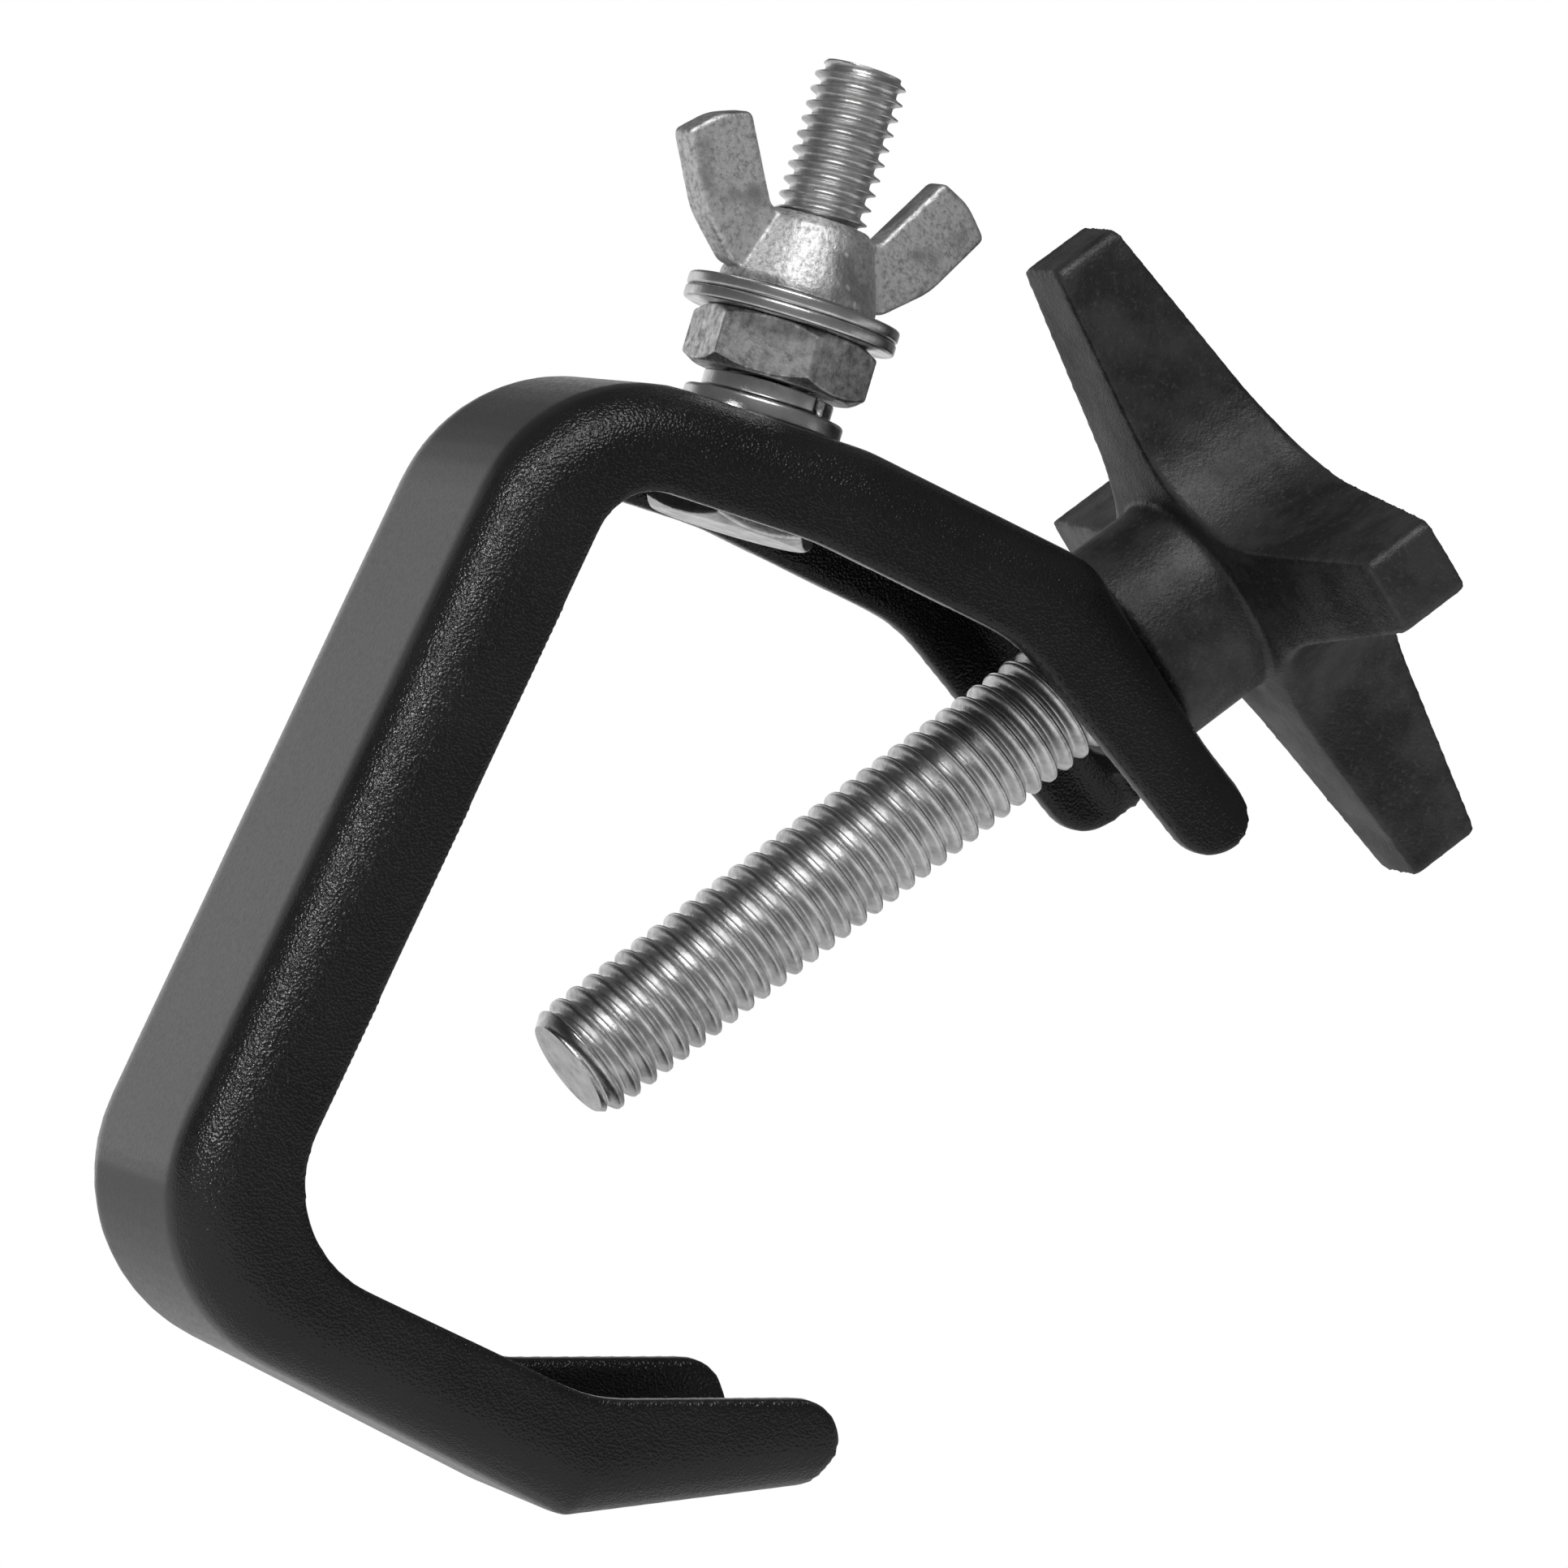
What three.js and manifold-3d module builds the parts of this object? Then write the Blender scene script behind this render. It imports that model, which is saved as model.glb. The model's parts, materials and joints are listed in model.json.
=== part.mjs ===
// Pipe clamp for hanging stage lamps: a pressed steel C-channel, a clamping screw with a
// four-lobed knob, and a stud with nuts and washers that carries the lamp's yoke.
//
// Millimetres, +Z up along the stud. The origin is the centre of the largest pipe, which lies
// along Y in the lower corner of the channel. X points out of the mouth of the C.
import * as THREE from 'three';
import { mergeVertices } from 'three/addons/utils/BufferGeometryUtils.js';
import Module from 'manifold-3d';

const manifold = await Module();
manifold.setup();

// ---- driving dimensions ------------------------------------------------------------------

const GAP = 0.3;              // clearance between pieces that touch
const DEG = Math.PI / 180;

const pipeRadius = 25;        // largest pipe, touching the back and the lower arm
const backLean = 8.9;         // the back leans from the stud's direction, degrees
const sheet = 3;              // thickness of the channel's steel
const channelWidth = 34;      // outside to outside of the flanges
const channelDepth = 11.2;    // web's outer face to the flanges' edges
const padDepth = 10.7;        // the same under the stud
const bendRadius = 6;         // outside radius between web and flange

const studX = 2.9;            // the stud's axis
const padHeight = 71.8;       // web's outer face under the stud
const padEdge = 10.5;         // where the pad turns into the sloping arm
const armSlope = 7.5;         // the upper arm falls towards the end section, degrees

const screwAngle = 51.6;      // the screw's direction above +X, degrees
const endReach = 76.6;        // origin to the end section's outer face, along the screw
const endTip = 18.8;          // screw axis to the tips of the end section
const endWeb = 13.6;          // screw axis to the straight end of the web
const endSplay = { from: 9, angle: 6.5 };    // the tips spread outwards
const endNarrowing = { depth: 10.9, angle: 7 };

// Straight runs of the side view: direction of the outward normal in degrees above +X, and
// distance from the origin.
const lowerArm = { angle: -100.6, distance: 36.3 };
const hookInner = { angle: -75, distance: 28.36 };
const hookOuter = { angle: -68.6, distance: 40.5 };
const hookEnd = { angle: -10, distance: 40.3 };

// Radii where one run of the side view turns into the next.
const outerBend = { hook: 5, lowerBack: 18.5, backTop: 18.5, padArm: 15, armEnd: 8.5, splay: 30 };
const innerBend = { endArm: 16, armPad: 30, padBack: 6.5, backLower: 11.8, lowerHook: 16 };
const hookCorner = { outer: 1.7, inner: 4.5 };

const screwDiameter = 12.7;
const screwTip = 5;           // origin to the screw's flat end
const screwHead = { acrossFlats: 19, height: 7.5, centre: 0.55 };
const screwBevel = { inward: 1.1, along: 1.3 };
const screwCollar = { radius: 8.4, height: 2.8 };   // drawn inwards from the web, tapped

const knob = {
  lobes: 4,
  reach: 38,                  // axis to the ends of the lobes
  turn: 0.8,                  // first lobe from the plane of the C, degrees
  plane: 96,                  // origin to the middle of the lobes, along the screw
  tipHalfWidth: 4.2,
  rootHalfWidth: 6.6,         // the same where two neighbouring sides would cross
  hollow: 14.4,               // radius of the hollow between two lobes
  tipThickness: 7.8,
  hubThickness: 14.4,
  hubRadius: 13,              // the lobes thin out from here
  edge: 0.9,                  // rounding of the lobes' edges
  tipCorner: 1.2,
  collarRadius: 11.3,
  collarEdge: 1,
};
const cap = { radius: 11.4, seatDepth: 0.3, edge: 0.8, crown: 0.7 };

const stud = { diameter: 9.5, top: 109.2, acrossFlats: 16.4, headHeight: 6, bevel: 0.9 };
const baseWasher = { outer: 16.7, thickness: 1.7 };
const lockWasher = { outer: 13.6, thickness: 1.6 };
const lockNut = { acrossFlats: 17, height: 6, turn: 28 };
const yokeWasher = { outer: 22.2, thickness: 1.05 };
const innerWasher = { outer: 16.5, thickness: 1.6 };
const threadClearance = 0.2;  // plain bores around the plain rods where the threads run
const washerClearance = 0.25;

const wing = { turn: 8, hubRadius: 8.2, hubTop: 5.2, hubHeight: 8.2, thickness: 3.5, edge: 0.5 };
// One wing seen along Y: [from the axis, above the nut's base, corner radius].
const wingSide = [
  [3, 1.2, 0], [9.2, 1, 2], [14, 5, 8], [18.4, 12.1, 0.8],
  [15.4, 14.9, 6], [11.9, 16.2, 0.8], [6.7, 8, 1.5], [3, 7.2, 0],
];
// Half of the wing nut's hub: [radius, above the nut's base].
const wingHub = [
  [0, 0], [wing.hubRadius, 0], [wing.hubRadius, 0.8], [wing.hubRadius - 0.7, 3],
  [wing.hubTop + 0.9, wing.hubHeight - 1], [wing.hubTop, wing.hubHeight], [0, wing.hubHeight],
];

const black = { color: 0x1c1c1d, roughness: 0.55, metalness: 0.1 };
const plastic = { color: 0x242425, roughness: 0.6, metalness: 0 };
const zinc = { color: 0xb4b5b6, roughness: 0.32, metalness: 0.9 };

// ---- solids and booleans -----------------------------------------------------------------

function solid(geometry) {
  const bare = geometry.clone();
  for (const name of ['normal', 'uv']) bare.deleteAttribute(name);
  const merged = mergeVertices(bare, 1e-4);
  return new manifold.Manifold(new manifold.Mesh({
    numProp: 3,
    vertProperties: new Float32Array(merged.attributes.position.array),
    triVerts: new Uint32Array(merged.index.array),
  }));
}

function geometryOf(body) {
  const mesh = body.getMesh();
  const geometry = new THREE.BufferGeometry();
  geometry.setAttribute('position', new THREE.BufferAttribute(mesh.vertProperties, 3));
  geometry.setIndex(new THREE.BufferAttribute(mesh.triVerts, 1));
  geometry.computeVertexNormals();
  return geometry;
}

function piece(name, body, look) {
  const mesh = new THREE.Mesh(geometryOf(body), new THREE.MeshStandardMaterial(look));
  mesh.name = name;
  return mesh;
}

// ---- plane outlines ----------------------------------------------------------------------

const direction = (degrees) => new THREE.Vector2(Math.cos(degrees * DEG), Math.sin(degrees * DEG));

const at = (x, y, radius = 0) => ({ point: new THREE.Vector2(x, y), radius });

const inset = (run, by) => ({ angle: run.angle, distance: run.distance - by });

// Corner where two straight runs cross.
function corner(a, b, radius = 0) {
  const m = direction(a.angle);
  const n = direction(b.angle);
  const det = m.cross(n);
  return at(
    (a.distance * n.y - b.distance * m.y) / det,
    (b.distance * m.x - a.distance * n.x) / det,
    radius,
  );
}

// Closed outline through the corners, each rounded to its radius.
function outline(corners, degreesPerStep = 9) {
  const points = [];
  corners.forEach(({ point, radius }, i) => {
    const before = corners[(i + corners.length - 1) % corners.length].point;
    const after = corners[(i + 1) % corners.length].point;
    if (radius === 0) {
      points.push(point.clone());
      return;
    }
    const back = before.clone().sub(point).normalize();
    const ahead = after.clone().sub(point).normalize();
    const half = Math.acos(THREE.MathUtils.clamp(back.dot(ahead), -1, 1)) / 2;
    const centre = back.clone().add(ahead).normalize()
      .multiplyScalar(radius / Math.sin(half)).add(point);
    const start = back.multiplyScalar(radius / Math.tan(half)).add(point).sub(centre);
    const end = ahead.multiplyScalar(radius / Math.tan(half)).add(point).sub(centre);
    const sweep = Math.atan2(start.cross(end), start.dot(end));
    const steps = Math.max(2, Math.ceil(Math.abs(sweep) / DEG / degreesPerStep));
    for (let k = 0; k <= steps; k += 1) {
      points.push(start.clone().rotateAround(new THREE.Vector2(), sweep * k / steps).add(centre));
    }
  });
  return points;
}

// Plate along Z from low to high, its edges rounded where asked.
function plate(points, low, high, rounding = 0, segments = 5) {
  const geometry = new THREE.ExtrudeGeometry(new THREE.Shape(points), {
    depth: high - low - 2 * rounding,
    bevelEnabled: rounding > 0,
    bevelThickness: rounding,
    bevelSize: rounding,
    bevelOffset: -rounding,
    bevelSegments: segments,
  });
  geometry.translate(0, 0, low + rounding);
  return solid(geometry);
}

// Prism of an XZ outline, centred on y = 0.
function prism(points, width, rounding, segments) {
  return plate(points, -width / 2, width / 2, rounding, segments).rotate([90, 0, 0]);
}

// Body of revolution about Z; each profile point is [radius, height].
function turned(profile, segments = 48) {
  const points = profile.map(([radius, height]) => new THREE.Vector2(radius, height));
  const geometry = new THREE.LatheGeometry(points, segments);
  geometry.rotateX(Math.PI / 2);
  return solid(geometry);
}

const cylinder = (radius, low, high) => turned([[0, low], [radius, low], [radius, high], [0, high]]);

function ring(inner, outer, low, high) {
  const chamfer = 0.25;
  return turned([
    [inner, low], [outer - chamfer, low], [outer, low + chamfer],
    [outer, high - chamfer], [outer - chamfer, high], [inner, high], [inner, low],
  ]);
}

// Hexagon prism along Z with its corners turned off at the ends that are asked for.
function hexagon(acrossFlats, low, high, { cutLow = false, cutHigh = false } = {}) {
  const cutSlope = Math.tan(30 * DEG);
  const reach = acrossFlats / Math.sqrt(3);
  const sharp = reach + 0.05;
  const face = acrossFlats / 2 - 0.2;
  const fall = (sharp - face) * cutSlope;
  const corners = [0, 1, 2, 3, 4, 5].map((i) => direction(60 * i).multiplyScalar(reach));
  const profile = [[0, low]];
  if (cutLow) profile.push([face, low], [sharp, low + fall]);
  else profile.push([sharp, low]);
  if (cutHigh) profile.push([sharp, high - fall], [face, high]);
  else profile.push([sharp, high]);
  profile.push([0, high]);
  return plate(corners, low, high).intersect(turned(profile));
}

// ---- channel frame -----------------------------------------------------------------------

const back = { angle: 180 - backLean, distance: pipeRadius + channelDepth };
const pad = { angle: 90, distance: padHeight };
const upperArm = { angle: 90 - armSlope };
upperArm.distance = direction(upperArm.angle).dot(new THREE.Vector2(padEdge, padHeight));
const endSection = { angle: screwAngle, distance: endReach };
const across = (distance) => ({ angle: screwAngle - 90, distance });

// A run that leaves the end section's direction by some degrees, at a distance off the screw.
function leaning(angle, reach, from) {
  const distance = reach * Math.cos(angle * DEG) - from * Math.sin(angle * DEG);
  return { angle: screwAngle + angle, distance };
}

const endTips = leaning(endSplay.angle, endReach, endSplay.from);
const endEdge = leaning(endNarrowing.angle, endReach - endNarrowing.depth, 0);
const armEdge = inset(upperArm, channelDepth);
const padEdgeRun = inset(pad, padDepth);
const backEdge = inset(back, channelDepth);
const lowerEdge = { angle: -90 - backLean, distance: pipeRadius };

// Outer side of the channel, from the hook round the back to the end section, offset inwards.
function outerCorners(by, hookRadius) {
  return [
    corner(inset(hookOuter, by), inset(lowerArm, by), hookRadius),
    corner(inset(lowerArm, by), inset(back, by), outerBend.lowerBack - by),
    corner(inset(back, by), inset(pad, by), outerBend.backTop - by),
    corner(inset(pad, by), inset(upperArm, by), outerBend.padArm - by),
    corner(inset(upperArm, by), inset(endSection, by), outerBend.armEnd - by),
    corner(inset(endSection, by), inset(endTips, by), outerBend.splay),
  ];
}

// Side view of the channel: round tips on the end section, a square-cornered hook.
function flangeOutline() {
  const tipRadius = 4.7;
  return outline([
    corner(hookEnd, hookOuter, hookCorner.outer),
    ...outerCorners(0, outerBend.hook),
    corner(endTips, across(endTip), tipRadius),
    corner(across(endTip), endEdge, tipRadius),
    corner(endEdge, armEdge, innerBend.endArm),
    corner(armEdge, padEdgeRun, innerBend.armPad),
    corner(padEdgeRun, backEdge, innerBend.padBack),
    corner(backEdge, lowerEdge, innerBend.backLower),
    corner(lowerEdge, hookInner, innerBend.lowerHook),
    corner(hookInner, hookEnd, hookCorner.inner),
  ], 8);
}

// The same channel run past its tips and its edges, to be rounded and then trimmed.
function overlongOutline(by) {
  const past = 30;
  const open = 12;
  const hookPast = inset(hookEnd, -past);
  const tipPast = across(endTip + past);
  return outline([
    corner(hookPast, inset(hookOuter, by)),
    ...outerCorners(by, 0),
    corner(inset(endTips, by), tipPast),
    corner(tipPast, inset(endEdge, open)),
    corner(inset(endEdge, open), inset(armEdge, open)),
    corner(inset(padEdgeRun, open), inset(backEdge, open)),
    corner(inset(backEdge, open), inset(lowerEdge, open)),
    corner(inset(lowerEdge, open), inset(hookInner, open)),
    corner(inset(hookInner, open), hookPast),
  ], 8);
}

// Leaves the web with a straight end between the two tips.
function webEnd() {
  const margin = 5;
  const outside = inset(endSection, -margin);
  const inside = inset(endSection, sheet + margin);
  const cut = outline([
    corner(inside, across(endWeb)),
    corner(inside, across(endTip + margin)),
    corner(outside, across(endTip + margin)),
    corner(outside, across(endWeb)),
  ]);
  return prism(cut, channelWidth - 2 * bendRadius);
}

const alongScrew = (body) => body.rotate([0, 90 - screwAngle, 0]);

function channelFrame() {
  const past = 10;
  const skin = prism(overlongOutline(0), channelWidth, bendRadius);
  const trim = prism(flangeOutline(), channelWidth + past);
  const hollow = prism(overlongOutline(sheet), channelWidth - 2 * sheet, bendRadius - sheet, 3);
  const endInside = endReach - sheet;
  const collar = cylinder(screwCollar.radius, endInside - screwCollar.height, endInside + 0.5);
  const screwHole = cylinder(screwDiameter / 2 + threadClearance, endReach - past, endReach + past);
  const studHole = cylinder(stud.diameter / 2 + GAP, padHeight - past, padHeight + past);
  return skin.intersect(trim).subtract(hollow).add(alongScrew(collar))
    .subtract(alongScrew(screwHole)).subtract(studHole.translate([studX, 0, 0]))
    .subtract(webEnd());
}

// ---- clamping screw and its knob ---------------------------------------------------------

const collarLow = endReach + GAP;
const headLow = knob.plane + screwHead.centre - screwHead.height / 2;
const headHigh = headLow + screwHead.height;
const knobHigh = knob.plane + knob.hubThickness / 2;

function clampScrew() {
  const radius = screwDiameter / 2;
  const rod = turned([
    [0, screwTip], [radius - screwBevel.inward, screwTip], [radius, screwTip + screwBevel.along],
    [radius, headLow + 0.5], [0, headLow + 0.5],
  ]);
  return rod.add(hexagon(screwHead.acrossFlats, headLow, headHigh, { cutHigh: true }));
}

// Cross of lobes seen along the screw.
function lobeOutline() {
  const corners = [];
  for (let i = 0; i < knob.lobes; i += 1) {
    const lobe = [
      at(knob.reach, -knob.tipHalfWidth, knob.tipCorner),
      at(knob.reach, knob.tipHalfWidth, knob.tipCorner),
      at(knob.rootHalfWidth, knob.rootHalfWidth, knob.hollow),
    ];
    for (const { point, radius } of lobe) {
      point.rotateAround(new THREE.Vector2(), i * 2 * Math.PI / knob.lobes);
      corners.push({ point, radius });
    }
  }
  return outline(corners);
}

function knobBody() {
  const hub = knob.hubThickness / 2;
  const tip = knob.tipThickness / 2;
  const past = knob.reach + 1;
  const cross = plate(lobeOutline(), knob.plane - hub, knob.plane + hub, knob.edge, 2);
  const taper = turned([
    [0, knob.plane - hub], [knob.hubRadius, knob.plane - hub], [past, knob.plane - tip],
    [past, knob.plane + tip], [knob.hubRadius, knob.plane + hub], [0, knob.plane + hub],
  ], 64);
  const collar = turned([
    [0, collarLow], [knob.collarRadius - knob.collarEdge, collarLow],
    [knob.collarRadius, collarLow + knob.collarEdge], [knob.collarRadius, knob.plane],
    [0, knob.plane],
  ]);
  const bore = cylinder(screwDiameter / 2 + GAP, collarLow - 1, knob.plane);
  const pocket = hexagon(screwHead.acrossFlats + 2 * GAP, headLow - GAP, knobHigh + 1);
  const seat = cylinder(cap.radius + GAP, headHigh + cap.seatDepth, knobHigh + 1);
  return cross.intersect(taper).add(collar).rotate([0, 0, knob.turn + 180])
    .subtract(bore).subtract(pocket).subtract(seat);
}

function knobCap() {
  const low = headHigh + cap.seatDepth + GAP;
  return turned([
    [0, low], [cap.radius, low], [cap.radius, knobHigh],
    [cap.radius - cap.edge, knobHigh + cap.edge], [0, knobHigh + cap.edge + cap.crown],
  ]);
}

// ---- stud, washers and nuts --------------------------------------------------------------

const padInside = padHeight - sheet;
const innerLow = padInside - GAP - innerWasher.thickness;
const headTop = innerLow - GAP;
const baseLow = padHeight + GAP;
const lockLow = baseLow + baseWasher.thickness + GAP;
const nutLow = lockLow + lockWasher.thickness + GAP;
const lowerLow = nutLow + lockNut.height + GAP;
const upperLow = lowerLow + yokeWasher.thickness + GAP;
const wingLow = upperLow + yokeWasher.thickness + GAP;

function studBolt() {
  const radius = stud.diameter / 2;
  const rod = turned([
    [0, headTop - 0.5], [radius, headTop - 0.5], [radius, stud.top - stud.bevel],
    [radius - stud.bevel, stud.top], [0, stud.top],
  ]);
  return rod.add(hexagon(stud.acrossFlats, headTop - stud.headHeight, headTop, { cutLow: true }));
}

function washer({ outer, thickness }, low) {
  return ring(stud.diameter / 2 + washerClearance, outer / 2, low, low + thickness);
}

// Spring washer: a ring with a slanting split.
function splitWasher() {
  const slot = new THREE.BoxGeometry(4, 1, 6);
  slot.rotateX(35 * DEG);
  slot.translate(6, 0, lockLow + lockWasher.thickness / 2);
  return washer(lockWasher, lockLow).subtract(solid(slot).rotate([0, 0, -60]));
}

function hexNut() {
  const high = nutLow + lockNut.height;
  return hexagon(lockNut.acrossFlats, nutLow, high, { cutLow: true, cutHigh: true })
    .rotate([0, 0, lockNut.turn])
    .subtract(cylinder(stud.diameter / 2 + threadClearance, nutLow - 1, high + 1));
}

function wingNut() {
  const leaf = prism(outline(wingSide.map(([x, z, radius]) => at(x, z, radius))),
    wing.thickness, wing.edge, 2);
  return turned(wingHub).add(leaf).add(leaf.rotate([0, 0, 180])).rotate([0, 0, wing.turn])
    .subtract(cylinder(stud.diameter / 2 + threadClearance, -1, wing.hubHeight + 1))
    .translate([0, 0, wingLow]);
}

// ---- assembly ----------------------------------------------------------------------------

const clamp = new THREE.Group();

const screwGroup = new THREE.Group();
screwGroup.rotation.y = (90 - screwAngle) * DEG;
screwGroup.add(
  piece('clamp_screw', clampScrew(), zinc),
  piece('knob', knobBody(), plastic),
  piece('knob_cap', knobCap(), plastic),
);

const studGroup = new THREE.Group();
studGroup.position.x = studX;
studGroup.add(
  piece('stud_bolt', studBolt(), zinc),
  piece('inner_washer', washer(innerWasher, innerLow), zinc),
  piece('base_washer', washer(baseWasher, baseLow), zinc),
  piece('lock_washer', splitWasher(), zinc),
  piece('lock_nut', hexNut(), zinc),
  piece('lower_yoke_washer', washer(yokeWasher, lowerLow), zinc),
  piece('upper_yoke_washer', washer(yokeWasher, upperLow), zinc),
  piece('wing_nut', wingNut(), zinc),
);

clamp.add(piece('channel_frame', channelFrame(), black), screwGroup, studGroup);

export default clamp;
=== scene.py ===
"""Pipe clamp for stage lamps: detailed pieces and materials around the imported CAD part."""

import json
import math

import bmesh
import bpy
from mathutils import Matrix, Vector


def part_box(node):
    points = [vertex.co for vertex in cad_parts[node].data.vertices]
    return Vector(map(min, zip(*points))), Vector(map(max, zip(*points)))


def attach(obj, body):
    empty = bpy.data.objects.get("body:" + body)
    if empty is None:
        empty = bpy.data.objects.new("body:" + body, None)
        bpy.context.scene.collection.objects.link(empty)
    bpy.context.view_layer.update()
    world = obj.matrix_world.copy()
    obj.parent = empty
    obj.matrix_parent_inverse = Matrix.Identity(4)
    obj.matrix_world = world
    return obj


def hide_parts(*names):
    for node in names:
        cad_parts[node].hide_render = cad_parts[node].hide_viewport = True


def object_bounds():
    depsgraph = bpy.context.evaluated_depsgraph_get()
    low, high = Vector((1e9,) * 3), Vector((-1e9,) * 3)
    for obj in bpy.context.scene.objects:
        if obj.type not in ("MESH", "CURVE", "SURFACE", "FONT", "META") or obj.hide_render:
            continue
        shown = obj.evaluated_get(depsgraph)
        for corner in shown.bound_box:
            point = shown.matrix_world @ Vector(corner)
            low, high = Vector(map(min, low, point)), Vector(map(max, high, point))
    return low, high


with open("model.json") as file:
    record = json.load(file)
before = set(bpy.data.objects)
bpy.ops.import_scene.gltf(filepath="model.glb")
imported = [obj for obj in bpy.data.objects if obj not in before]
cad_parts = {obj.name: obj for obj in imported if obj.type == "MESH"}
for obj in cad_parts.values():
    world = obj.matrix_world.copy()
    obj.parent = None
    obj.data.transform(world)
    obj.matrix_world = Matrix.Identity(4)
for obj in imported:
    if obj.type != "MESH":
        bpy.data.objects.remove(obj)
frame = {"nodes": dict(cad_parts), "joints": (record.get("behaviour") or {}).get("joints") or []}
cad_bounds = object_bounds()

MM = 0.001
NODES = frame["nodes"]

# ---- dimensions --------------------------------------------------------------------------
# A cut is what ends a thread: (radius of the end, slope of the cone behind it).

INCH = 25.4 * MM

SCREW_RADIUS = 6.35 * MM
SCREW_PITCH = INCH / 12
SCREW_THREAD_DEPTH = 1.0 * MM
SCREW_TIP_CUT = (5.3 * MM, 0.75)
SCREW_HEAD_CUT = (5.3 * MM, 1.0)
SCREW_THREAD_STOP = 4 * MM    # from the outer face of the hidden head to the thread's end
SCREW_HEAD_REACH = 7.5 * MM   # from the same face to where the copied head begins

STUD_RADIUS = 4.75 * MM
STUD_PITCH = INCH / 16
STUD_THREAD_DEPTH = 0.85 * MM
STUD_TIP_CUT = (3.9 * MM, 0.85)
STUD_HEAD_CUT = (3.8 * MM, 1.0)
STUD_HEAD = 6 * MM            # height of the head
STUD_OVERLAP = 1 * MM         # the thread starts this far inside the head

CRISP = 42                    # edges of a rod steeper than this many degrees stay crisp
REMESH_SWING = 35             # degrees about Y that a mesh is turned by while it is rebuilt

WASHER_BORE = STUD_RADIUS + 0.25 * MM
WASHER_EDGES = {
    "inner_washer": 0.3 * MM,
    "base_washer": 0.45 * MM,
    "lower_yoke_washer": 0.35 * MM,
    "upper_yoke_washer": 0.35 * MM,
}
CLOSE = 0.27 * MM             # a stacked piece reaches down to its neighbour by this much

SPRING_EDGE = 0.25 * MM
SPRING_LOWER_GAP = 0.1 * MM
SPRING_UPPER_GAP = 0.05 * MM
SPRING_ARC = 0.972            # share of a full turn; the rest is the split
SPRING_RISE = 0.18 * MM       # from one end of the split to the other
SPRING_SPLIT_AT = -55         # degrees about the stud

FLOOR_RADIUS = 0.95
FLOOR_SIDES = 96
FLOOR_GAP = 0.5               # floor below the object, as a share of the object's diagonal

CAMERA_AZIMUTH = -112.55
CAMERA_ELEVATION = -2.36
CAMERA_ROLL = 16.61
CAMERA_DISTANCE = 893.4 * MM
CAMERA_TARGET = Vector((15.3, -3.6, 37.7)) * MM
CAMERA_LENS = 203.1
CAMERA_SENSOR = 36
CAMERA_REACH = 100            # metres

# ---- places, worked out from the frame ---------------------------------------------------

screw_travel = next(joint for joint in frame["joints"] if joint["name"] == "screw_travel")
SCREW_AXIS = Vector(screw_travel["axis"]).normalized()
ALONG_SCREW = Vector((0, 0, 1)).rotation_difference(SCREW_AXIS).to_matrix().to_4x4()


def span(node, direction):
    """Lowest and highest reach of a CAD node along a direction from the origin."""
    reaches = [v.co.dot(direction) for v in NODES[node].data.vertices]
    return min(reaches), max(reaches)


def stack(node):
    """Low end, high end and outer radius of a round or hexagonal node on the stud."""
    low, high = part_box(node)
    return low[2], high[2], (high[1] - low[1]) / 2


stud_low, stud_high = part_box("stud_bolt")
STUD_X = (stud_low[0] + stud_high[0]) / 2
ON_STUD = Matrix.Translation((STUD_X, 0, 0))


# ---- meshes ------------------------------------------------------------------------------

def add_object(name, mesh, body, nodes, material):
    """A finished piece that rides on a body and stands for CAD nodes."""
    mesh.materials.clear()
    mesh.materials.append(material)
    for polygon in mesh.polygons:
        polygon.use_smooth = True
    obj = bpy.data.objects.new(name, mesh)
    bpy.context.scene.collection.objects.link(obj)
    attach(obj, body)
    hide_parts(*nodes)
    return obj


def softened(source, voxel, passes, tilt=0):
    """A copy of a mesh rebuilt in small even faces, with its edges rounded off.

    It is rebuilt while turned, so that no long edge or face runs nearly along the grid.
    The tilt, in degrees, is for a piece with faces nearly square to Y.
    """
    swing = Matrix.Rotation(math.radians(REMESH_SWING), 4, "Y")
    aslant = swing @ Matrix.Rotation(math.radians(tilt), 4, "X")
    holder = bpy.data.objects.new("holder", source.copy())
    holder.data.transform(aslant)
    bpy.context.scene.collection.objects.link(holder)
    remesh = holder.modifiers.new("remesh", "REMESH")
    remesh.mode = "VOXEL"
    remesh.voxel_size = voxel
    smooth = holder.modifiers.new("smooth", "SMOOTH")
    smooth.factor = 0.5
    smooth.iterations = passes
    bpy.context.view_layer.update()
    depsgraph = bpy.context.evaluated_depsgraph_get()
    mesh = bpy.data.meshes.new_from_object(holder.evaluated_get(depsgraph))
    bpy.data.objects.remove(holder)
    mesh.transform(aslant.inverted())
    return mesh


def cut_below(source, point, normal):
    """The closed part of a mesh that lies behind a plane."""
    bm = bmesh.new()
    bm.from_mesh(source)
    bmesh.ops.remove_doubles(bm, verts=bm.verts, dist=1e-7)
    cut = bmesh.ops.bisect_plane(
        bm,
        geom=bm.verts[:] + bm.edges[:] + bm.faces[:],
        plane_co=point,
        plane_no=normal,
        clear_outer=True,
    )
    edges = [e for e in cut["geom_cut"] if isinstance(e, bmesh.types.BMEdge)]
    bmesh.ops.contextual_create(bm, geom=edges)
    mesh = bpy.data.meshes.new("cut")
    bm.to_mesh(mesh)
    bm.free()
    return mesh


def joined(name, *meshes):
    """Several meshes as one."""
    bm = bmesh.new()
    for mesh in meshes:
        bm.from_mesh(mesh)
    out = bpy.data.meshes.new(name)
    bm.to_mesh(out)
    bm.free()
    return out


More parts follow.
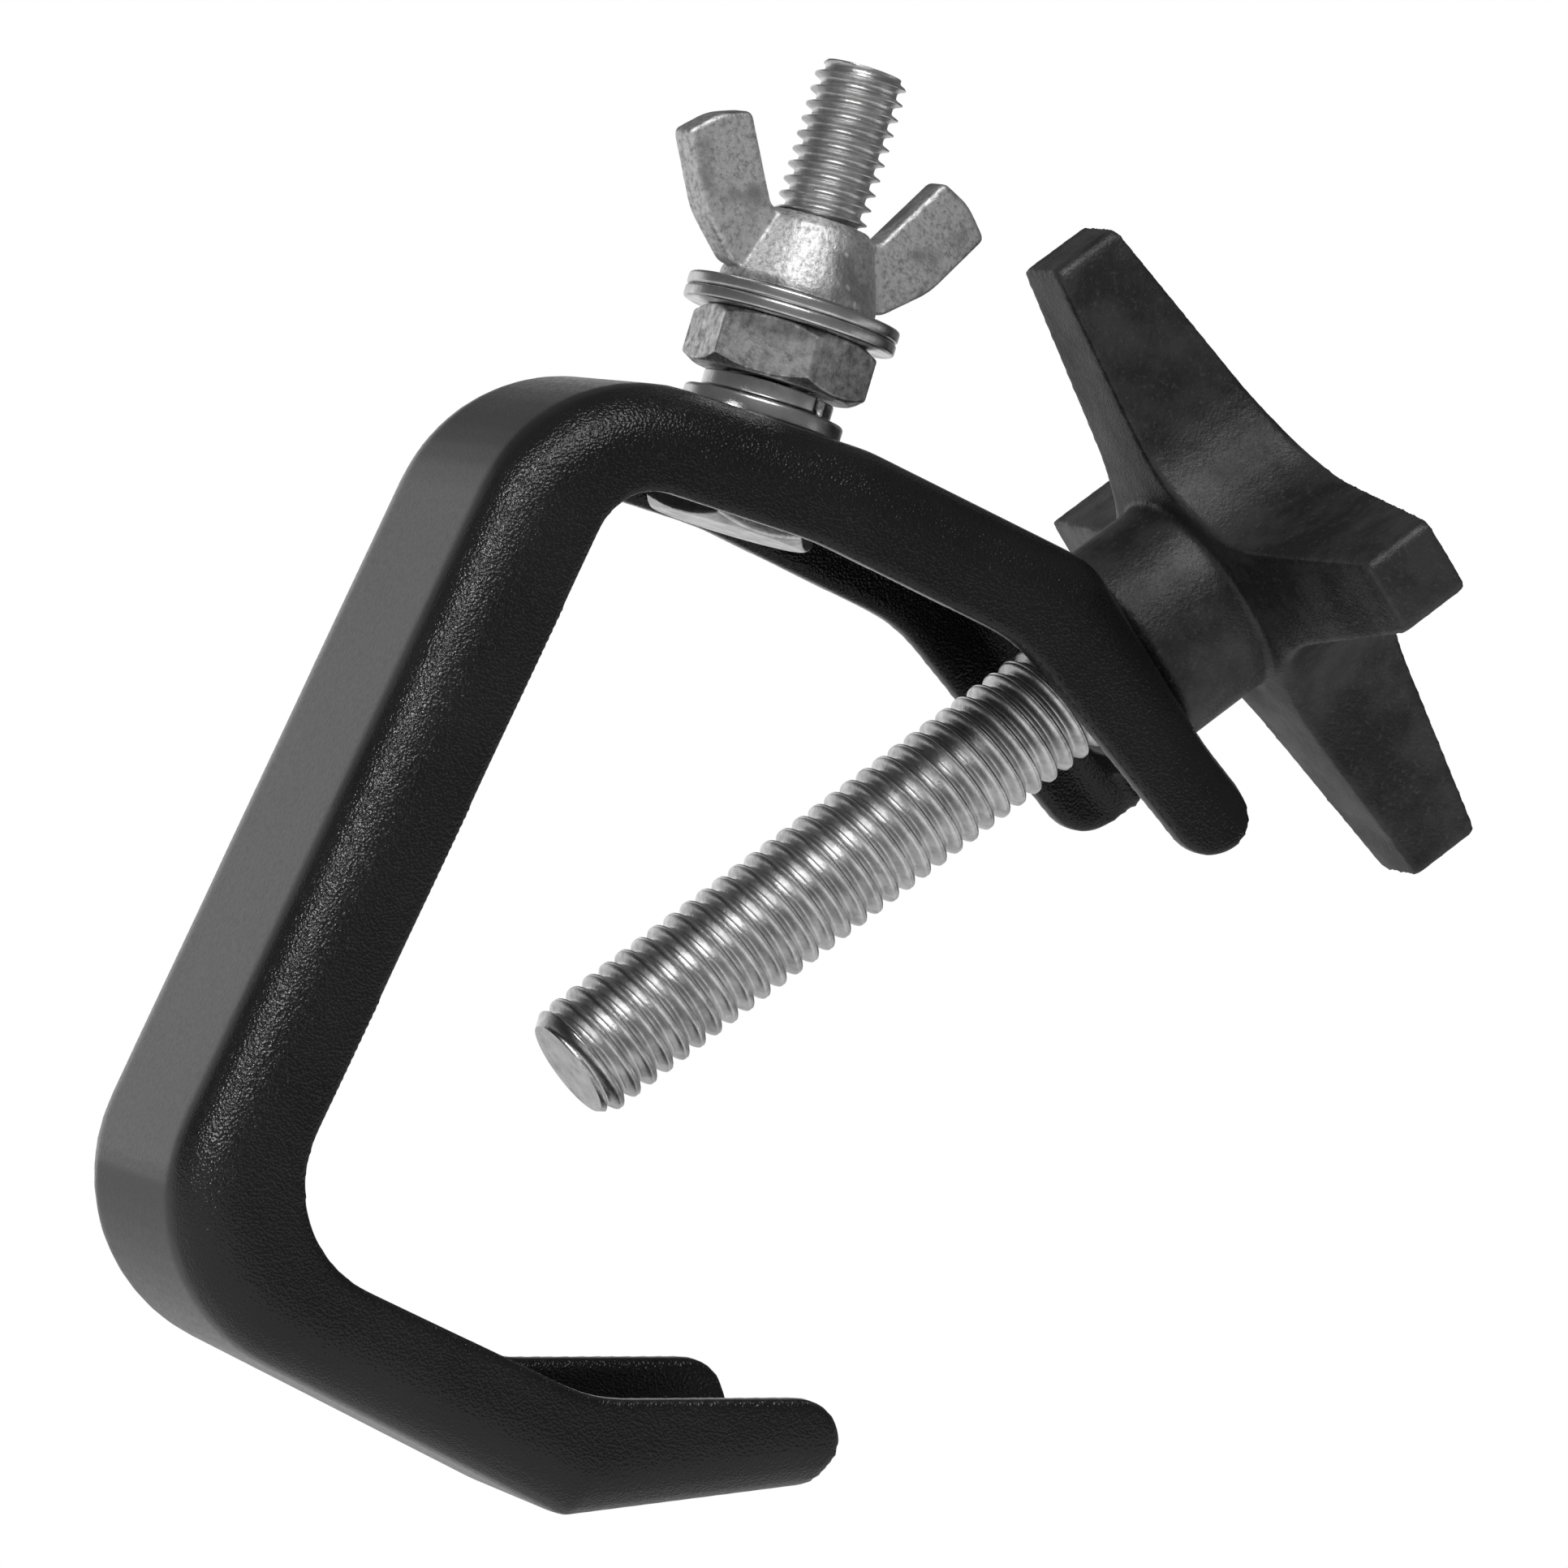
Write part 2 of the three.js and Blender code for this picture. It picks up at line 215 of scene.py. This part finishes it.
def revolved(name, profile, place, steps=120, arc=1.0, rise=0.0):
    """A closed profile of (radius, height) turned about Z; an arc below 1 leaves a split."""
    bm = bmesh.new()
    rings = []
    count = steps if arc == 1 else steps + 1
    for i in range(count):
        angle = 2 * math.pi * arc * i / steps
        lift = rise * (i / steps - 0.5)
        rings.append([
            bm.verts.new((r * math.cos(angle), r * math.sin(angle), z + lift)) for r, z in profile
        ])
    for i in range(steps):
        a, b = rings[i], rings[(i + 1) % count]
        for k in range(len(profile)):
            n = (k + 1) % len(profile)
            bm.faces.new((a[k], b[k], b[n], a[n]))
    if arc < 1:
        bm.faces.new(rings[0])
        bm.faces.new(reversed(rings[-1]))
    bmesh.ops.transform(bm, matrix=place, verts=bm.verts)
    bmesh.ops.recalc_face_normals(bm, faces=bm.faces)
    mesh = bpy.data.meshes.new(name)
    bm.to_mesh(mesh)
    bm.free()
    return mesh


def rounded_section(inner, outer, low, high, edge, steps=4):
    """Section of a washer with all four edges rounded."""
    corners = [
        (inner + edge, low + edge, 180), (outer - edge, low + edge, 270),
        (outer - edge, high - edge, 0), (inner + edge, high - edge, 90),
    ]
    return [
        (x + edge * math.cos(math.radians(start + 90 * k / steps)),
         z + edge * math.sin(math.radians(start + 90 * k / steps)))
        for x, z, start in corners
        for k in range(steps + 1)
    ]


# Half a pitch of a rolled thread from crest to root: (share of the pitch, share of the depth).
WIDE_CREST = (
    (0, 0.14), (0.06, 0), (0.12, 0.03), (0.20, 0.20),
    (0.30, 0.52), (0.38, 0.82), (0.44, 0.97), (0.5, 1),
)
NARROW_CREST = (
    (0, 0), (0.05, 0.02), (0.12, 0.30), (0.20, 0.68), (0.28, 0.92), (0.36, 1), (0.5, 1),
)


def thread_profile(half, depth, pitch):
    """One whole pitch as (climb, how far below the crest)."""
    mirrored = [(1 - share, fall) for share, fall in reversed(half) if 0 < share < 0.5]
    return [(share * pitch, fall * depth) for share, fall in (*half, *mirrored)]


def threaded_rod(place, radius, profile, pitch, low, high, low_cut, high_cut, steps=56):
    """A right-handed helical thread from low to high, with a cut at each end."""
    turns = math.ceil((high - low) / pitch) + 2
    total = turns * steps
    bm = bmesh.new()

    def vertex(i, k):
        angle = 2 * math.pi * i / steps
        climb, fall = profile[k]
        z = low - pitch + climb + pitch * i / steps
        z = min(max(z, low), high)
        r = min(
            radius - fall,
            low_cut[0] + (z - low) * low_cut[1],
            high_cut[0] + (high - z) * high_cut[1],
        )
        return bm.verts.new((r * math.cos(angle), r * math.sin(angle), z))

    grid = [[vertex(i, k) for k in range(len(profile))] for i in range(total + 1)]
    for i in range(total):
        for k in range(len(profile)):
            if k + 1 < len(profile):
                above = (grid[i + 1][k + 1], grid[i][k + 1])
            elif i + steps + 1 <= total:
                above = (grid[i + 1 + steps][0], grid[i + steps][0])
            else:
                continue
            bm.faces.new((grid[i][k], grid[i + 1][k], *above))
    for z, facing in ((low, -1), (high, 1)):
        end = low_cut[0] if facing < 0 else high_cut[0]
        rim = [
            bm.verts.new((end * math.cos(t), end * math.sin(t), z))
            for t in (2 * math.pi * facing * i / steps for i in range(steps))
        ]
        bm.faces.new(rim)
    bmesh.ops.remove_doubles(bm, verts=bm.verts, dist=1e-6)
    bmesh.ops.dissolve_degenerate(bm, edges=bm.edges, dist=1e-7)
    bmesh.ops.recalc_face_normals(bm, faces=bm.faces)
    bmesh.ops.transform(bm, matrix=place, verts=bm.verts)
    mesh = bpy.data.meshes.new("thread")
    bm.to_mesh(mesh)
    bm.free()
    return mesh


def sharpened(mesh, degrees):
    """The mesh, with edges steeper than an angle kept crisp in smooth shading."""
    bm = bmesh.new()
    bm.from_mesh(mesh)
    limit = math.radians(degrees)
    for edge in bm.edges:
        if len(edge.link_faces) == 2:
            edge.smooth = edge.calc_face_angle(0) < limit
    bm.to_mesh(mesh)
    bm.free()
    return mesh


# ---- materials ---------------------------------------------------------------------------

def add_node(tree, kind, inputs=None, **settings):
    """A node whose inputs are linked where a socket is given and set where a value is."""
    node = tree.nodes.new(kind)
    for key, value in settings.items():
        setattr(node, key, value)
    for key, value in (inputs or {}).items():
        if isinstance(value, bpy.types.NodeSocket):
            tree.links.new(value, node.inputs[key])
        else:
            node.inputs[key].default_value = value
    return node


class Surface:
    """A Principled material with textures measured in millimetres of the object."""

    def __init__(self, name, metallic=0.0, specular=0.5):
        self.material = bpy.data.materials.new(name)
        self.material.use_nodes = True
        self.tree = self.material.node_tree
        self.shader = self.tree.nodes["Principled BSDF"]
        self.shader.inputs["Metallic"].default_value = metallic
        self.shader.inputs["Specular IOR Level"].default_value = specular
        self.place = add_node(self.tree, "ShaderNodeTexCoord").outputs["Object"]
        self.normal = None

    def noise(self, size, detail, roughness=0.5):
        """Noise from 0 to 1 whose features are about size millimetres."""
        return add_node(self.tree, "ShaderNodeTexNoise", {
            "Vector": self.place, "Scale": 1 / (size * MM),
            "Detail": detail, "Roughness": roughness,
        }).outputs["Fac"]

    def pebbles(self, size):
        """Rounded cells of about size millimetres."""
        return add_node(self.tree, "ShaderNodeTexVoronoi", {
            "Vector": self.place, "Scale": 1 / (size * MM), "Smoothness": 0.6,
        }, feature="SMOOTH_F1").outputs["Distance"]

    def levels(self, factor, low, high, from_low=0.3, from_high=0.7):
        """A texture spread between two numbers."""
        return add_node(self.tree, "ShaderNodeMapRange", {
            "Value": factor, "From Min": from_low, "From Max": from_high,
            "To Min": low, "To Max": high,
        }).outputs["Result"]

    def greys(self, factor, stops):
        """A texture turned into greys; stops are (position, grey)."""
        ramp = add_node(self.tree, "ShaderNodeValToRGB", {"Fac": factor})
        elements = ramp.color_ramp.elements
        while len(elements) < len(stops):
            elements.new(0.5)
        for element, (position, grey) in zip(elements, stops):
            element.position = position
            element.color = (grey, grey, grey, 1)
        return ramp.outputs["Color"]

    def mix(self, factor, a, b):
        """A blend of two colours."""
        node = add_node(self.tree, "ShaderNodeMix", data_type="RGBA")
        for socket, value in ((node.inputs[0], factor), (node.inputs[6], a), (node.inputs[7], b)):
            if isinstance(value, bpy.types.NodeSocket):
                self.tree.links.new(value, socket)
            else:
                socket.default_value = value
        return node.outputs[2]

    def edges(self, low, high):
        """0 on flat ground, 1 on outward edges."""
        pointy = add_node(self.tree, "ShaderNodeNewGeometry").outputs["Pointiness"]
        return self.levels(pointy, 0.0, 1.0, low, high)

    def flank(self, low, high):
        """1 on surfaces that face sideways, along Y, and nearly 0 on the others."""
        normal = add_node(self.tree, "ShaderNodeTexCoord").outputs["Normal"]
        parts = add_node(self.tree, "ShaderNodeSeparateXYZ", {"Vector": normal})
        sideways = add_node(
            self.tree, "ShaderNodeMath", {0: parts.outputs["Y"]}, operation="ABSOLUTE")
        return self.levels(sideways.outputs[0], 0.06, 1.0, low, high)

    def bump(self, height, depth, strength):
        """Adds relief of about depth millimetres."""
        inputs = {"Height": height, "Distance": depth * MM, "Strength": strength}
        if self.normal:
            inputs["Normal"] = self.normal
        self.normal = add_node(self.tree, "ShaderNodeBump", inputs).outputs["Normal"]

    def finish(self, colour, roughness):
        """The material, once its shader has these inputs and the relief."""
        inputs = {"Base Color": colour, "Roughness": roughness, "Normal": self.normal}
        for name, value in inputs.items():
            if isinstance(value, bpy.types.NodeSocket):
                self.tree.links.new(value, self.shader.inputs[name])
            elif value is not None:
                self.shader.inputs[name].default_value = value
        return self.material


def powder_coat():
    """Black coat: orange peel on the flanks, faint scuffs, and a painted highlight along the
    edges.
    """
    s = Surface("powder_coat", specular=0.38)
    base = s.greys(s.noise(14, 4), [(0.35, 0.007), (0.65, 0.011)])
    scuffs = s.greys(s.noise(1.3, 4, 0.7), [(0.66, 0.0), (0.78, 1.0)])
    scuffed = s.mix(scuffs, base, (0.030, 0.030, 0.031, 1))
    # Painted highlight: the edges are made pale grey to stand in for the glint of light along the
    # cut edges.
    colour = s.mix(s.edges(0.54, 0.62), scuffed, (0.14, 0.14, 0.142, 1))
    grained = s.flank(0.15, 0.5)
    s.bump(s.pebbles(0.28), depth=0.08, strength=grained)
    s.bump(s.noise(0.25, 1), depth=0.06, strength=grained)
    return s.finish(colour, s.levels(s.noise(0.5, 2), 0.20, 0.30))


def moulded_plastic(name):
    """Black plastic with glossier patches that are painted paler as a sheen, fine specks and a
    slightly uneven skin.
    """
    s = Surface(name, specular=0.5)
    sheen_patches = s.noise(7, 5, 0.6)
    # Painted sheen: the base colour is lighter where the patches are, standing in for light
    # reflected off the glossier skin.
    base = s.greys(sheen_patches, [(0.42, 0.012), (0.60, 0.042)])
    specks = s.greys(s.noise(0.6, 4, 0.7), [(0.56, 0.0), (0.72, 1.0)])
    colour = s.mix(specks, base, (0.065, 0.065, 0.066, 1))
    s.bump(s.noise(0.4, 3, 0.65), depth=0.12, strength=0.9)
    s.bump(s.noise(4, 3), depth=0.14, strength=0.6)
    return s.finish(colour, s.levels(sheen_patches, 0.50, 0.34))


def thread_zinc(name):
    """Zinc plate on a rolled thread, with stains."""
    s = Surface(name, metallic=1.0)
    stains = s.noise(2.2, 5, 0.65)
    colour = s.greys(stains, [(0.33, 0.52), (0.5, 0.72), (0.7, 0.86)])
    s.bump(s.noise(0.35, 4, 0.65), depth=0.05, strength=0.8)
    return s.finish(colour, s.levels(stains, 0.38, 0.26))


def washer_zinc():
    """Smoother zinc plate with soft stains."""
    s = Surface("washer_zinc", metallic=1.0)
    stains = s.noise(3, 4, 0.6)
    colour = s.greys(stains, [(0.35, 0.60), (0.65, 0.82)])
    s.bump(s.noise(0.6, 4, 0.6), depth=0.04, strength=0.6)
    return s.finish(colour, s.levels(stains, 0.34, 0.22))


def forged_zinc():
    """Zinc plate over forging scale, with a painted highlight on the edges."""
    s = Surface("forged_zinc", metallic=1.0)
    scale = s.noise(1.1, 6, 0.7)
    blotches = s.greys(scale, [(0.36, 0.28), (0.5, 0.58), (0.66, 0.86)])
    # Painted highlight: the edges are made nearly white to stand in for the glint on the chamfers
    # and corners.
    colour = s.mix(s.edges(0.52, 0.58), blotches, (0.85, 0.85, 0.85, 1))
    s.bump(scale, depth=0.09, strength=0.7)
    s.bump(s.noise(0.3, 3, 0.6), depth=0.03, strength=0.5)
    return s.finish(colour, s.levels(scale, 0.5, 0.34))


def cast_zinc():
    """Grainy cast zinc with darker areas, and a painted highlight on the edges."""
    s = Surface("cast_zinc", metallic=1.0)
    grain = s.noise(0.6, 5, 0.7)
    blotches = s.greys(grain, [(0.36, 0.44), (0.5, 0.78), (0.66, 0.95)])
    dark_areas = s.greys(s.noise(5, 2), [(0.34, 0.0), (0.46, 1.0)])
    toned = s.mix(dark_areas, (0.42, 0.42, 0.42, 1), blotches)
    # Painted highlight: the edges and fillets are made nearly white to stand in for the glint of
    # light on them.
    colour = s.mix(s.edges(0.52, 0.60), toned, (0.9, 0.9, 0.9, 1))
    s.bump(grain, depth=0.14, strength=0.8)
    s.bump(s.noise(0.28, 3, 0.6), depth=0.05, strength=0.6)
    return s.finish(colour, s.levels(grain, 0.54, 0.40))


def pale_floor():
    """Nearly white, matt, and slightly glowing so that its far edge stays pale."""
    s = Surface("pale_floor", specular=0.2)
    colour = s.greys(s.noise(400, 2), [(0.3, 0.86), (0.7, 0.90)])
    s.shader.inputs["Emission Color"].default_value = (1, 1, 1, 1)
    s.shader.inputs["Emission Strength"].default_value = 0.3
    return s.finish(colour, 0.8)


COAT = powder_coat()
PLASTIC = moulded_plastic("knob_plastic")
CAP_PLASTIC = moulded_plastic("cap_plastic")
SCREW_ZINC = thread_zinc("screw_zinc")
STUD_ZINC = thread_zinc("stud_zinc")
WASHER_ZINC = washer_zinc()
NUT_ZINC = forged_zinc()
CAST_ZINC = cast_zinc()

# ---- the pieces --------------------------------------------------------------------------

channel_mesh = softened(NODES["channel_frame"].data, voxel=0.58 * MM, passes=3)
channel = add_object("pressed_channel", channel_mesh,
                     "frame", ["channel_frame"], COAT)

screw_low, screw_high = span("clamp_screw", SCREW_AXIS)
screw_thread = threaded_rod(
    ALONG_SCREW, SCREW_RADIUS, thread_profile(WIDE_CREST, SCREW_THREAD_DEPTH, SCREW_PITCH),
    SCREW_PITCH, screw_low, screw_high - SCREW_THREAD_STOP, SCREW_TIP_CUT, SCREW_HEAD_CUT,
)
screw_head = softened(
    cut_below(
        NODES["clamp_screw"].data, SCREW_AXIS * (screw_high - SCREW_HEAD_REACH), -SCREW_AXIS),
    voxel=0.35 * MM, passes=2)
add_object("screw_with_thread", sharpened(joined("screw", screw_thread, screw_head), CRISP),
           "screw", ["clamp_screw"], SCREW_ZINC)

knob_mesh = softened(NODES["knob"].data, voxel=0.37 * MM, passes=6, tilt=30)
add_object("lobed_knob", knob_mesh, "screw", ["knob"], PLASTIC)
cap_mesh = softened(NODES["knob_cap"].data, voxel=0.25 * MM, passes=3)
add_object("round_cap", cap_mesh, "screw_cap", ["knob_cap"], CAP_PLASTIC)

stud_head_top = stud_low[2] + STUD_HEAD
stud_thread = threaded_rod(
    ON_STUD, STUD_RADIUS, thread_profile(NARROW_CREST, STUD_THREAD_DEPTH, STUD_PITCH),
    STUD_PITCH, stud_head_top - STUD_OVERLAP, stud_high[2], STUD_HEAD_CUT, STUD_TIP_CUT,
)
stud_head = softened(
    cut_below(NODES["stud_bolt"].data, Vector((0, 0, stud_head_top)), Vector((0, 0, 1))),
    voxel=0.22 * MM, passes=2)
add_object("stud_with_thread", sharpened(joined("stud", stud_thread, stud_head), CRISP),
           "frame", ["stud_bolt"], STUD_ZINC)

for name, edge in WASHER_EDGES.items():
    low, high, outer = stack(name)
    section = rounded_section(WASHER_BORE, outer, low - CLOSE, high, edge)
    body = "yoke_clamp" if name == "upper_yoke_washer" else "frame"
    add_object("turned_" + name, revolved(name, section, ON_STUD),
               body, [name], WASHER_ZINC)

low, high, outer = stack("lock_washer")
section = rounded_section(
    WASHER_BORE, outer, low - CLOSE + SPRING_LOWER_GAP, high - SPRING_UPPER_GAP, SPRING_EDGE)
split_turn = Matrix.Rotation(math.radians(SPRING_SPLIT_AT), 4, "Z")
spring = revolved("spring", section, ON_STUD @ split_turn, arc=SPRING_ARC, rise=SPRING_RISE)
add_object("split_spring_washer", spring, "frame", ["lock_washer"], WASHER_ZINC)

nut_mesh = softened(NODES["lock_nut"].data, voxel=0.17 * MM, passes=3)
add_object("forged_nut", nut_mesh, "frame", ["lock_nut"], NUT_ZINC)
wing_mesh = softened(NODES["wing_nut"].data, voxel=0.2 * MM, passes=5)
add_object("cast_wing_nut", wing_mesh, "wing", ["wing_nut"], CAST_ZINC)

# ---- floor, light and camera -------------------------------------------------------------

low_corner, high_corner = (Vector(c) for c in cad_bounds)
centre = (low_corner + high_corner) / 2
floor_z = low_corner.z - FLOOR_GAP * (high_corner - low_corner).length
floor_angles = [2 * math.pi * i / FLOOR_SIDES for i in range(FLOOR_SIDES)]

floor_mesh = bpy.data.meshes.new("floor")
floor_mesh.from_pydata(
    [(FLOOR_RADIUS * math.cos(a), FLOOR_RADIUS * math.sin(a), floor_z) for a in floor_angles],
    [],
    [tuple(range(FLOOR_SIDES))],
)
floor_mesh.materials.append(pale_floor())
floor = bpy.data.objects.new("floor", floor_mesh)
bpy.context.scene.collection.objects.link(floor)


def softbox(name, towards, width, height, power, distance=0.9):
    """An area light that hangs in a direction from the object and faces it."""
    light = bpy.data.lights.new(name, "AREA")
    light.shape = "RECTANGLE"
    light.size = width
    light.size_y = height
    light.energy = power
    lamp = bpy.data.objects.new(name, light)
    lamp.location = centre + Vector(towards).normalized() * distance
    lamp.rotation_euler = (lamp.location - centre).to_track_quat("Z", "Y").to_euler()
    bpy.context.scene.collection.objects.link(lamp)
    return lamp


softbox("key", towards=(-0.36, -0.58, 0.73), width=0.45, height=0.36, power=3.5)
# The small light reaches only the coated channel, for the sparkle along its bends.
coat_light = softbox(
    "coat_light", towards=(-0.88, -0.40, 0.28), width=0.18, height=0.18, power=3.4)
coat_light.light_linking.receiver_collection = bpy.data.collections.new("coated")
coat_light.light_linking.receiver_collection.objects.link(channel)
softbox("right_low", towards=(0.88, -0.30, -0.37), width=0.7, height=1.1, power=1.5)


def studio_world():
    """White backdrop; the object reflects a dim room with a bright sheet behind it."""
    world = bpy.data.worlds.new("studio")
    world.use_nodes = True
    tree = world.node_tree
    background = tree.nodes["Background"]
    direction = add_node(tree, "ShaderNodeTexCoord").outputs["Generated"]
    parts = add_node(tree, "ShaderNodeSeparateXYZ", {"Vector": direction})

    def ramp(axis, start, end, first, last):
        """Runs from first to last while the direction's axis runs from start to end."""
        return add_node(tree, "ShaderNodeMapRange", {
            "Value": parts.outputs[axis], "From Min": start, "From Max": end,
            "To Min": first, "To Max": last,
        }).outputs["Result"]

    def combined(a, b, operation):
        return add_node(tree, "ShaderNodeMath", {0: a, 1: b}, operation=operation).outputs[0]

    front = ramp("Y", -0.9, -0.3, 0.15, 0.11)
    ground = ramp("Z", -0.8, 0.0, 0.3, 0.0)
    sheet = combined(
        ramp("Y", 0.70, 0.92, 0.0, 0.80), ramp("Z", 0.12, 0.36, 1.0, 0.0), "MULTIPLY")
    reflected = combined(combined(front, ground, "ADD"), sheet, "ADD")
    camera_ray = add_node(tree, "ShaderNodeLightPath").outputs["Is Camera Ray"]
    strength = add_node(tree, "ShaderNodeMix", data_type="FLOAT")
    tree.links.new(camera_ray, strength.inputs[0])
    tree.links.new(reflected, strength.inputs[2])
    strength.inputs[3].default_value = 1.0
    tree.links.new(strength.outputs[0], background.inputs["Strength"])
    background.inputs["Color"].default_value = (1, 1, 1, 1)
    bpy.context.scene.world = world


studio_world()
bpy.context.scene.view_settings.view_transform = "Standard"

azimuth, elevation = math.radians(CAMERA_AZIMUTH), math.radians(CAMERA_ELEVATION)
backwards = Vector((
    math.cos(azimuth) * math.cos(elevation),
    math.sin(azimuth) * math.cos(elevation),
    math.sin(elevation),
))
roll = Matrix.Rotation(math.radians(CAMERA_ROLL), 4, "Z").to_quaternion()
camera_data = bpy.data.cameras.new("camera")
camera_data.lens = CAMERA_LENS
camera_data.sensor_width = CAMERA_SENSOR
camera_data.clip_end = CAMERA_REACH
camera = bpy.data.objects.new("camera", camera_data)
camera.rotation_euler = (backwards.to_track_quat("Z", "Y") @ roll).to_euler()
camera.location = CAMERA_TARGET + backwards * CAMERA_DISTANCE
bpy.context.scene.collection.objects.link(camera)
bpy.context.scene.camera = camera
